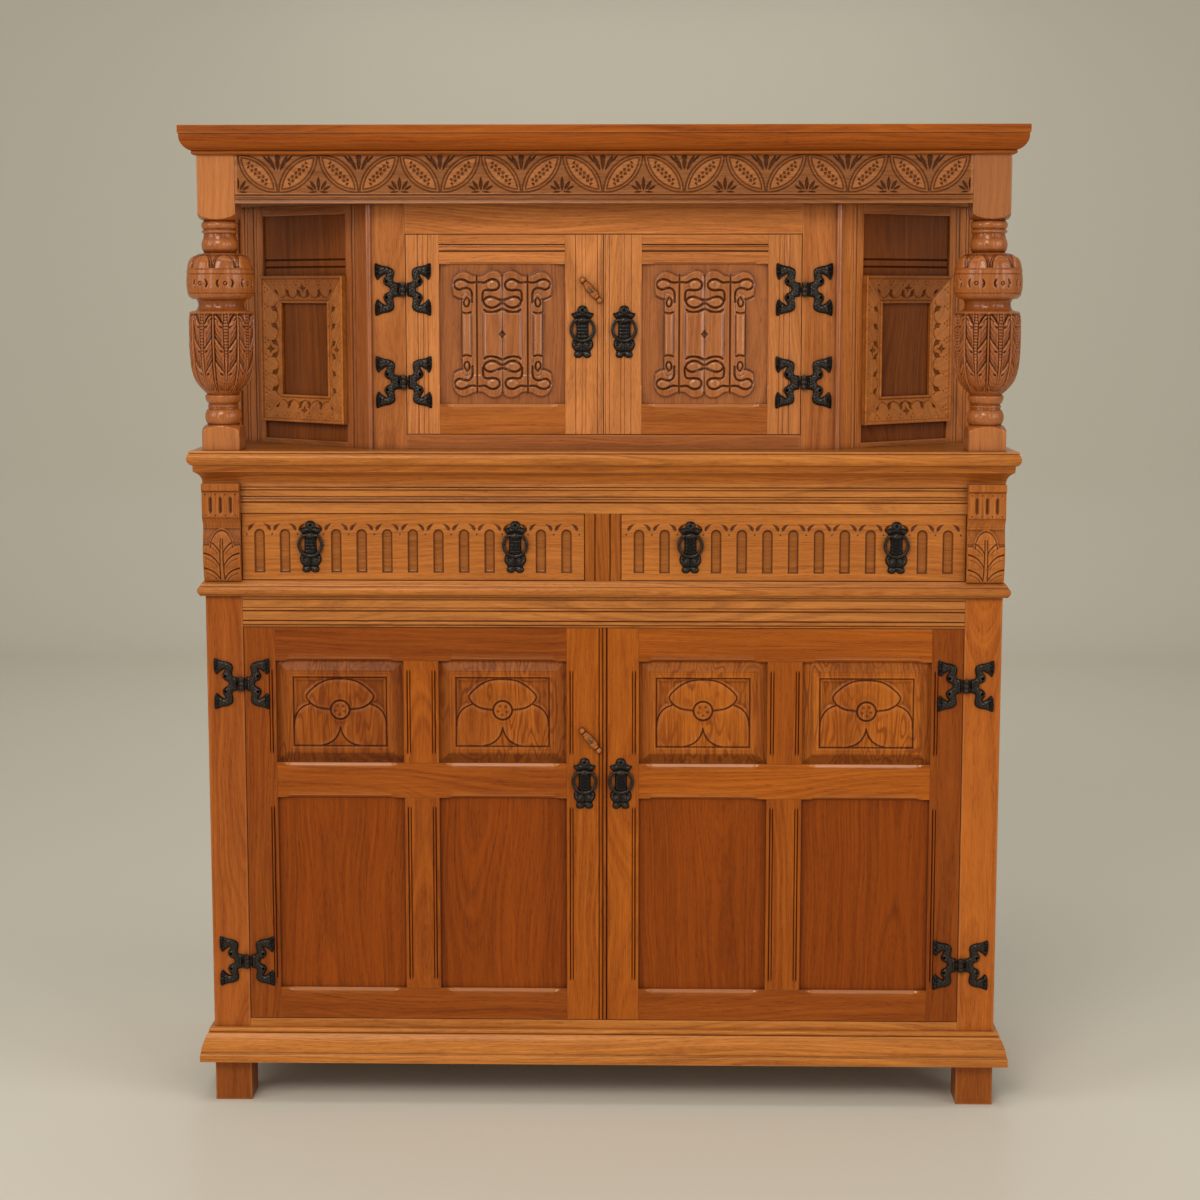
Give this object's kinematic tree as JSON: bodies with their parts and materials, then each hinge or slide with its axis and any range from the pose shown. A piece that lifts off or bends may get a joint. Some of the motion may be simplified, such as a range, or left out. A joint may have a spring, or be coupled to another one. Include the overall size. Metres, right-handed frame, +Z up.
{
  "type": "court cupboard",
  "caption": "Joined oak court cupboard: turned pillars under a canopy, recessed upper doors with canted sides, two fluted drawers over framed and panelled doors, iron ring pulls.",
  "frame": {"origin": "on the floor at the middle of the bounding box in plan", "axes": "+X to the right as seen from the front, +Y to the back, +Z up; the doors and drawers face -Y"},
  "size_m": [1.288, 0.454, 1.535],
  "materials": {
    "oak": "waxed golden-brown oak",
    "oak_panel": "darker waxed oak",
    "oak_inside": "bare aged oak",
    "iron": "blackened wrought iron"
  },
  "bodies": {
    "carcase": {"front_posts": "oak", "rear_posts": "oak", "bottom_rails": "oak", "side_rails": "oak", "side_panels": "oak", "waist_rail": "oak", "drawer_rail": "oak", "drawer_divider": "oak", "bottom_board": "oak_inside", "dust_board": "oak_inside", "drawer_guides": "oak_inside", "inner_shelf": "oak_inside", "back_boards": "oak_inside", "plinth_moulding": "oak", "waist_moulding": "oak", "bed_moulding": "oak", "shelf_board": "oak", "brackets": "oak", "pillars": "oak", "frieze": "oak", "soffit_board": "oak_inside", "top_board": "oak", "cornice": "oak", "face_frame": "oak", "cant_frames": "oak", "cant_boards": "oak", "cant_mouldings": "oak", "corner_beads": "oak", "side_returns": "oak", "fixed_hinge_leaves": "iron"},
    "lower_left_door": {"lower_left_door_frame": "oak", "lower_left_door_panels": "oak_panel", "lower_left_door_irons": "iron"},
    "lower_left_door_ring": {"lower_left_ring": "iron"},
    "lower_right_door": {"lower_right_door_frame": "oak", "lower_right_door_panels": "oak_panel", "lower_right_door_irons": "iron"},
    "lower_right_door_ring": {"lower_right_ring": "iron"},
    "lower_latch": {"lower_turn_button": "oak"},
    "upper_left_door": {"upper_left_door_frame": "oak", "upper_left_door_panels": "oak", "upper_left_door_irons": "iron"},
    "upper_left_door_ring": {"upper_left_ring": "iron"},
    "upper_right_door": {"upper_right_door_frame": "oak", "upper_right_door_panels": "oak", "upper_right_door_irons": "iron"},
    "upper_right_door_ring": {"upper_right_ring": "iron"},
    "upper_latch": {"upper_turn_button": "oak"},
    "left_drawer": {"left_drawer_front": "oak", "left_drawer_box": "oak_inside", "left_drawer_plates": "iron"},
    "left_drawer_inner_pull": {"left_drawer_inner_ring": "iron"},
    "left_drawer_outer_pull": {"left_drawer_outer_ring": "iron"},
    "right_drawer": {"right_drawer_front": "oak", "right_drawer_box": "oak_inside", "right_drawer_plates": "iron"},
    "right_drawer_inner_pull": {"right_drawer_inner_ring": "iron"},
    "right_drawer_outer_pull": {"right_drawer_outer_ring": "iron"}
  },
  "joints": [
    {"name": "lower_left_door_hinge", "type": "hinge", "parent": "carcase", "child": "lower_left_door", "pos_m": [-0.5655, -0.2075, 0.45195], "axis": [0, 0, -1], "range_deg": [0, 165]},
    {"name": "lower_right_door_hinge", "type": "hinge", "parent": "carcase", "child": "lower_right_door", "pos_m": [0.5655, -0.2075, 0.45195], "axis": [0, 0, 1], "range_deg": [0, 165]},
    {"name": "upper_left_door_hinge", "type": "hinge", "parent": "carcase", "child": "upper_left_door", "pos_m": [-0.3108, -0.1615, 1.21595], "axis": [0, 0, -1], "range_deg": [0, 140]},
    {"name": "upper_right_door_hinge", "type": "hinge", "parent": "carcase", "child": "upper_right_door", "pos_m": [0.3108, -0.1615, 1.21595], "axis": [0, 0, 1], "range_deg": [0, 140]},
    {"name": "lower_left_ring_lift", "type": "hinge", "parent": "lower_left_door", "child": "lower_left_door_ring", "pos_m": [-0.0285, -0.2077, 0.5367], "axis": [-1, 0, 0], "range_deg": [0, 100]},
    {"name": "lower_right_ring_lift", "type": "hinge", "parent": "lower_right_door", "child": "lower_right_door_ring", "pos_m": [0.0285, -0.2077, 0.5367], "axis": [-1, 0, 0], "range_deg": [0, 100]},
    {"name": "lower_latch_turn", "type": "hinge", "parent": "lower_left_door", "child": "lower_latch", "pos_m": [-0.019, -0.203, 0.5877], "axis": [0, -1, 0], "range_deg": [-40, 50]},
    {"name": "upper_left_ring_lift", "type": "hinge", "parent": "upper_left_door", "child": "upper_left_door_ring", "pos_m": [-0.0323, -0.1617, 1.241], "axis": [-1, 0, 0], "range_deg": [0, 100]},
    {"name": "upper_right_ring_lift", "type": "hinge", "parent": "upper_right_door", "child": "upper_right_door_ring", "pos_m": [0.0323, -0.1617, 1.241], "axis": [-1, 0, 0], "range_deg": [0, 100]},
    {"name": "upper_latch_turn", "type": "hinge", "parent": "upper_left_door", "child": "upper_latch", "pos_m": [-0.019, -0.157, 1.2872], "axis": [0, -1, 0], "range_deg": [-40, 50]},
    {"name": "left_drawer_slide", "type": "slide", "parent": "carcase", "child": "left_drawer", "axis": [0, -1, 0], "range_m": [0, 0.27]},
    {"name": "left_inner_ring_lift", "type": "hinge", "parent": "left_drawer", "child": "left_drawer_inner_pull", "pos_m": [-0.1358, -0.2077, 0.9098], "axis": [-1, 0, 0], "range_deg": [0, 100]},
    {"name": "left_outer_ring_lift", "type": "hinge", "parent": "left_drawer", "child": "left_drawer_outer_pull", "pos_m": [-0.4542, -0.2077, 0.9098], "axis": [-1, 0, 0], "range_deg": [0, 100]},
    {"name": "right_drawer_slide", "type": "slide", "parent": "carcase", "child": "right_drawer", "axis": [0, -1, 0], "range_m": [0, 0.27]},
    {"name": "right_inner_ring_lift", "type": "hinge", "parent": "right_drawer", "child": "right_drawer_inner_pull", "pos_m": [0.1358, -0.2077, 0.9098], "axis": [-1, 0, 0], "range_deg": [0, 100]},
    {"name": "right_outer_ring_lift", "type": "hinge", "parent": "right_drawer", "child": "right_drawer_outer_pull", "pos_m": [0.4542, -0.2077, 0.9098], "axis": [-1, 0, 0], "range_deg": [0, 100]}
  ]
}
